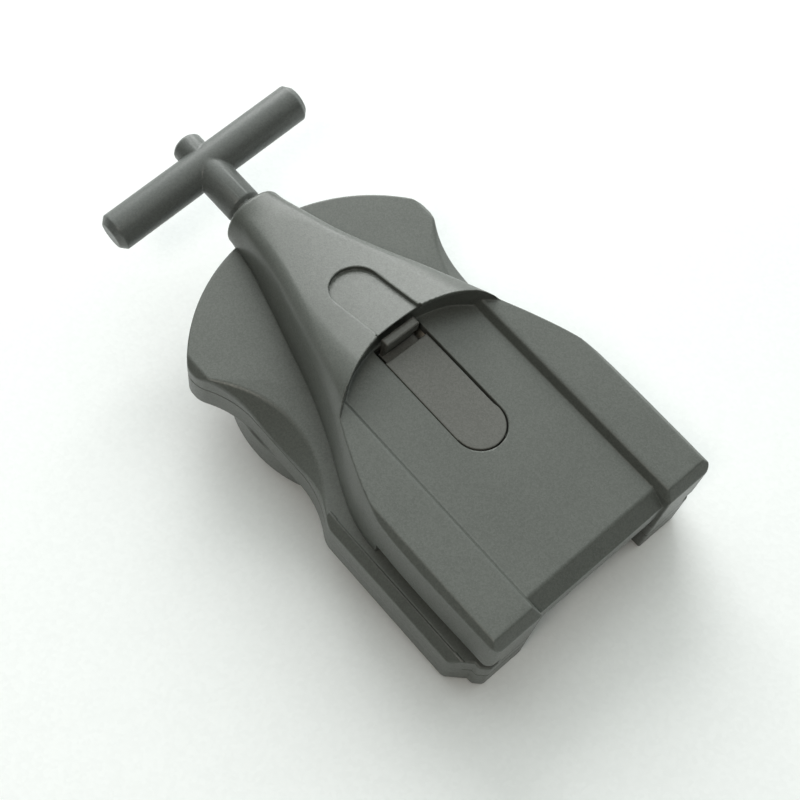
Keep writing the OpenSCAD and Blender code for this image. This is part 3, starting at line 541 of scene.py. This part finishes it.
def handle_field(x, y, z):
    ax = np.abs(x * math.cos(ROLL) + (z - string_z) * math.sin(ROLL))
    thick = np.hypot(y - bar_y, (z - string_z) * math.cos(ROLL) - x * math.sin(ROLL))
    form = both(thick - BAR_R, ax - BAR_HALF, 0.15)
    form = both(form, (ax + thick - BAR_HALF - BAR_R + BAR_BEVEL) / math.sqrt(2), 0.15)
    round_r = np.hypot(x, z - string_z)
    stem = np.maximum(round_r - STEM_R, np.maximum(shoulder_y - y, y - bar_y))
    stem = both(stem, (round_r + shoulder_y - y - STEM_R + END_BEVEL) / math.sqrt(2), 0.15)
    stub = both(round_r - STUB_R, np.maximum(bar_y - y, y - handle_high[1]), 0.3)
    stub = both(stub, (round_r + y - handle_high[1] - STUB_R + END_BEVEL) / math.sqrt(2), 0.2)
    spigot = both(round_r - SPIGOT_R, np.maximum(handle_low[1] - y, y - bar_y), 0.4)
    form = either(either(form, stem, 0.15), stub, 0.15)
    form = np.minimum(form, spigot)
    form = without(form, np.maximum(round_r - KNOT_R, bar_y + 1.9 - y), 0.2)
    return without(form, round_r - STRING_HOLE_R, 0.1)


handle = skin("handle", handle_field, handle_low, handle_high, FINE, 0.4)
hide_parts("pull_handle")
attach(handle, "handle")

# %% [markdown]
# ## Grip catch
# A plate that lies flush in the channel floor carries a small nib at the hood's edge.
# Pressing it lets a grip slide off. It moves, so it is a piece of its own.

# %% Field of the catch
PLATE_HALF, FLANGE, PLAY = 4.85, 1.2, 0.15
NIB_HALF, NIB_Y = 3.8, -8.35
end_y = catch_low[1] + FLANGE + PLATE_HALF


def tongue(ax, x, y, half, front):
    """A strip with a round rear end, in plan."""
    strip = np.maximum(ax - half, np.maximum(y - front, end_y - y))
    return np.minimum(strip, post(x, y, 0, end_y, half))


def catch_field(x, y, z):
    # the plate lies a little to one side, so one groove is wider than the other
    ax = np.abs(x + PLAY)
    plate = tongue(ax, x, y, PLATE_HALF, -10.4)
    flange = tongue(ax, x, y, PLATE_HALF + FLANGE, -12.2)
    flange = np.maximum(flange, np.maximum(z - floor_under_z + 0.05, catch_low[2] - z))
    form = both(plate, np.maximum(z - floor_z + 0.02, catch_low[2] - z), 0.18)
    form = np.minimum(form, flange)
    arm = np.maximum(ax - NIB_HALF, np.abs(y + 10.2) - 2.7)
    arm = np.maximum(arm, np.maximum(z - floor_under_z, floor_under_z - 1 - z))
    nib = both(both(ax - NIB_HALF, np.abs(y - NIB_Y) - 0.85, 0.25), z - catch_high[2], 0.35)
    nib = both(nib, floor_z + 1 - z, 0.2)
    stalk = np.maximum(np.maximum(ax - 3.6, np.abs(y + 7.95) - 0.4), np.abs(z - floor_z) - 3)
    return np.minimum(form, np.minimum(arm, np.minimum(nib, stalk)))


catch = skin("catch", catch_field, catch_low, catch_high, 0.2, 0.4)
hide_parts("grip_catch")
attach(catch, "catch")

# %% [markdown]
# ## String
# The string runs from the drum through the guide into the handle. When the handle is
# pulled, it draws out; the visible string is one tube that runs between the two.

# %% String
lead_low, lead_high = box_mm("string_lead")
STRING_R = 0.65
BEND_Y = nozzle_y - 4.4 - 0.3 - 3.5 + 3.5 * STRING_R


def string_tube():
    rings, slanted, around = 90, 18, 12
    # from the side of the drum to the middle of the guide, then straight out
    start = np.array([lead_high[0] - STRING_R, 4.2, string_z])
    guide = np.array([0.6, BEND_Y - 0.8, string_z])
    path = [start + (guide - start) * np.linspace(0, 1, slanted)[:, None]]
    ends = np.linspace(BEND_Y + 0.4, lead_high[1], rings - slanted)
    path.append(np.stack([np.zeros_like(ends), ends, np.full_like(ends, string_z)], 1))
    path = np.concatenate(path)
    ahead = np.gradient(path, axis=0)
    ahead /= np.linalg.norm(ahead, axis=1)[:, None]
    up = np.array([0, 0, 1.0])
    across = np.cross(ahead, up)
    angle = np.linspace(0, 2 * np.pi, around, endpoint=False)
    ring = np.cos(angle)[None, :, None] * across[:, None] + np.sin(angle)[None, :, None] * up
    points = (path[:, None] + STRING_R * ring).reshape(-1, 3)
    i, j = np.meshgrid(np.arange(rings - 1), np.arange(around), indexing="ij")
    k = (j + 1) % around
    quads = np.stack([i * around + j, i * around + k, (i + 1) * around + k, (i + 1) * around + j], -1)
    mesh = bpy.data.meshes.new("string")
    faces = [list(q) for q in quads.reshape(-1, 4).tolist()]
    faces += [list(range(around))[::-1], list(range((rings - 1) * around, rings * around))]
    mesh.from_pydata((points * MM).tolist(), [], faces)
    mesh.shade_smooth()
    return bpy.data.objects.new("string", mesh)


string = string_tube()
bpy.context.collection.objects.link(string)
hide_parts("string_lead")
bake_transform(string)
print("string", round(lead_high[1] - lead_low[1], 1), "mm long at rest")

# %% [markdown]
# ## Materials
# The plastic is filled with a fine metal flake, which gives it a grain that shows at arm's
# length. Cells of noise a quarter of a millimetre across stand for the flakes: they vary the
# colour and the gloss a little. Steel, brass and string get the same treatment on a
# scale of their own.

# %% Material maker


def srgb(code):
    v = np.array([int(code[i : i + 2], 16) for i in (1, 3, 5)]) / 255
    return tuple(np.where(v <= 0.04045, v / 12.92, ((v + 0.055) / 1.055) ** 2.4)) + (1.0,)


def link(tree, a, b):
    tree.links.new(a, b)


def grained(name, light, dark, rough, metal, cell_mm, bump_mm):
    """A surface with fine flakes, slow tone changes and a slight grain."""
    mat = bpy.data.materials.new(name)
    mat.use_nodes = True
    tree = mat.node_tree
    shader = tree.nodes["Principled BSDF"]
    where = tree.nodes.new("ShaderNodeTexCoord")
    flakes = tree.nodes.new("ShaderNodeTexVoronoi")
    flakes.inputs["Scale"].default_value = 1 / (cell_mm * MM)
    link(tree, where.outputs["Object"], flakes.inputs["Vector"])
    clouds = tree.nodes.new("ShaderNodeTexNoise")
    clouds.inputs["Scale"].default_value = 90
    clouds.inputs["Detail"].default_value = 4
    link(tree, where.outputs["Object"], clouds.inputs["Vector"])
    split = tree.nodes.new("ShaderNodeSeparateColor")
    link(tree, flakes.outputs["Color"], split.inputs["Color"])
    share = tree.nodes.new("ShaderNodeMix")
    share.inputs["Factor"].default_value = 0.5
    link(tree, split.outputs["Red"], share.inputs["A"])
    link(tree, clouds.outputs["Fac"], share.inputs["B"])
    tone = tree.nodes.new("ShaderNodeMix")
    tone.data_type = "RGBA"
    tone.inputs["A"].default_value = srgb(dark)
    tone.inputs["B"].default_value = srgb(light)
    link(tree, share.outputs["Result"], tone.inputs["Factor"])
    link(tree, tone.outputs["Result"], shader.inputs["Base Color"])
    gloss = tree.nodes.new("ShaderNodeMapRange")
    gloss.inputs["To Min"].default_value = rough - 0.06
    gloss.inputs["To Max"].default_value = rough + 0.06
    link(tree, split.outputs["Green"], gloss.inputs["Value"])
    link(tree, gloss.outputs["Result"], shader.inputs["Roughness"])
    shader.inputs["Metallic"].default_value = metal
    bump = tree.nodes.new("ShaderNodeBump")
    bump.inputs["Strength"].default_value = 0.4
    bump.inputs["Distance"].default_value = bump_mm * MM
    link(tree, flakes.outputs["Distance"], bump.inputs["Height"])
    link(tree, bump.outputs["Normal"], shader.inputs["Normal"])
    return mat


FINISH = {
    "cover": grained("cover_plastic", "#666964", "#50534e", 0.40, 0.1, 0.25, 0.02),
    "case": grained("case_plastic", "#686b66", "#525550", 0.40, 0.1, 0.25, 0.02),
    "handle": grained("handle_plastic", "#6c6f6c", "#565956", 0.40, 0.1, 0.25, 0.02),
    "catch": grained("catch_plastic", "#696964", "#53534e", 0.42, 0.1, 0.25, 0.02),
    "head": grained("head_plastic", "#434645", "#323434", 0.45, 0.0, 0.25, 0.02),
    "spool": grained("spool_plastic", "#ddd8c8", "#cbc6b6", 0.50, 0.0, 0.4, 0.01),
    "washer": grained("washer_plastic", "#eceade", "#dcdace", 0.45, 0.0, 0.4, 0.01),
    "steel": grained("bright_steel", "#c6c9cc", "#a9adb1", 0.28, 1.0, 0.15, 0.005),
    "brass": grained("turned_brass", "#c9a45c", "#a9853f", 0.32, 1.0, 0.15, 0.005),
    "screw": grained("plated_screw", "#a3a6aa", "#868a8f", 0.34, 1.0, 0.15, 0.005),
    "string": grained("braided_string", "#3a3a3d", "#1d1d1f", 0.85, 0.0, 0.3, 0.08),
}
NEW_PIECES = {cover: "cover", deck: "case", lower: "case", handle: "handle", catch: "catch", string: "string"}
for piece, slot in NEW_PIECES.items():
    piece.data.materials.append(FINISH[slot])
NODE_SLOTS = {
    "launch_head": "head", "drive_shaft": "steel", "shaft_bush": "brass", "thrust_washer": "washer",
    "ratchet_wheel": "brass", "retaining_ring": "steel", "spool": "spool", "pawl_left": "steel",
    "pawl_right": "steel", "pawl_pins": "steel", "pawl_springs": "steel", "recoil_spring": "steel",
    "string_winding": "string", "string_knot": "string", "cord_guide": "steel", "catch_spring": "steel",
    "catch_keeper": "case", "case_screws": "screw", "cover_screws": "screw", "keeper_screws": "screw",
}
for node, slot in NODE_SLOTS.items():
    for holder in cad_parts[node].material_slots:
        holder.material = FINISH[slot]
print(len(FINISH), "finishes on", len(NODE_SLOTS) + len(NEW_PIECES), "pieces")

# %% [markdown]
# ## Floor
# The toy lies on white paper and leans on its skirt, its hooks and the rear edge of the
# case, so the floor is tilted under it. The paper is large, because the toy is also seen
# from other sides.

# %% Floor
FLOOR_TILT = math.atan(0.1798)
floor_mesh = bpy.data.meshes.new("paper")
HALF = 4.0
corners = [(-HALF, -HALF, 0), (HALF, -HALF, 0), (HALF, HALF, 0), (-HALF, HALF, 0)]
floor_mesh.from_pydata(corners, [], [(0, 1, 2, 3)])
paper = bpy.data.objects.new("paper", floor_mesh)
bpy.context.collection.objects.link(paper)
paper.rotation_euler = (-FLOOR_TILT, 0, 0)
paper.location = (0, -25.6 * MM, -0.1 * MM)
paper.data.materials.append(grained("white_paper", "#f6f8f7", "#f0f2f1", 0.9, 0.0, 0.8, 0.03))
print("floor tilted by", round(math.degrees(FLOOR_TILT), 1), "degrees")

# %% [markdown]
# ## Lights
# A wide soft window stands on the far side, low enough that its mirror image mostly misses
# the roof. A small warm lamp above lifts the left edge of the roof a little. The
# room is bright on the far side and overhead, and dark behind the camera, which gives the
# plastic its contrast.

# %% Lights


def area(name, place, size, power, aim):
    data = bpy.data.lights.new(name, "AREA")
    data.shape = "DISK"
    data.size = size
    data.energy = power
    lamp = bpy.data.objects.new(name, data)
    bpy.context.collection.objects.link(lamp)
    lamp.location = place
    lamp.rotation_euler = (Vector(aim) - Vector(place)).to_track_quat("-Z", "Y").to_euler()
    return lamp


area("window", (0.30, 0.47, 0.25), 0.5, 2.8, (0, 0, 0.01))
area("lamp", (-0.26, -0.10, 0.48), 0.12, 0.55, (0, 0, 0.02)).data.color = (1.0, 0.93, 0.84)
world = bpy.data.worlds.new("room")
bpy.context.scene.world = world
world.use_nodes = True
room = world.node_tree
back = room.nodes["Background"]
back.inputs["Color"].default_value = (0.94, 1.0, 0.98, 1)
direction = room.nodes.new("ShaderNodeTexCoord")


def glow(aim, start, full, level):
    """Light of the room that grows towards one direction."""
    dot = room.nodes.new("ShaderNodeVectorMath")
    dot.operation = "DOT_PRODUCT"
    dot.inputs[1].default_value = Vector(aim).normalized()
    link(room, direction.outputs["Generated"], dot.inputs[0])
    ramp = room.nodes.new("ShaderNodeMapRange")
    ramp.interpolation_type = "SMOOTHSTEP"
    ramp.inputs["From Min"].default_value = start
    ramp.inputs["From Max"].default_value = full
    ramp.inputs["To Min"].default_value = 0.02
    ramp.inputs["To Max"].default_value = level
    link(room, dot.outputs["Value"], ramp.inputs["Value"])
    return ramp.outputs["Result"]


total = room.nodes.new("ShaderNodeMath")
link(room, glow((0.62, 0.74, 0.25), 0.1, 0.9, 1.0), total.inputs[0])
link(room, glow((0.3, 0.1, 1), 0.6, 1.0, 0.8), total.inputs[1])
link(room, total.outputs["Value"], back.inputs["Strength"])

# %% [markdown]
# ## Camera
# The camera stands where the photograph was taken, about 25 cm above the toy and to
# its left. It was solved from the picture, so the render can be laid over it.

# %% Camera
camera_data = bpy.data.cameras.new("camera")
camera_data.lens = 62.99
camera_data.sensor_width = 36
camera_data.clip_start = 0.01
camera = bpy.data.objects.new("camera", camera_data)
bpy.context.collection.objects.link(camera)
bpy.context.scene.camera = camera
eye = Vector((-91.9, -82.1, 246.6)) * MM
ahead = (Vector((-2.5, -13.3, 15.0)) * MM - eye).normalized()
right = ahead.cross(Vector((0, 0.1392, 0.9903))).normalized()
up = right.cross(ahead)
camera.matrix_world = Matrix((
    (right.x, up.x, -ahead.x, eye.x),
    (right.y, up.y, -ahead.y, eye.y),
    (right.z, up.z, -ahead.z, eye.z),
    (0, 0, 0, 1),
))
view = bpy.context.scene.view_settings
view.view_transform = "Standard"

print("camera", round(eye.length / MM), "mm from the toy's origin")
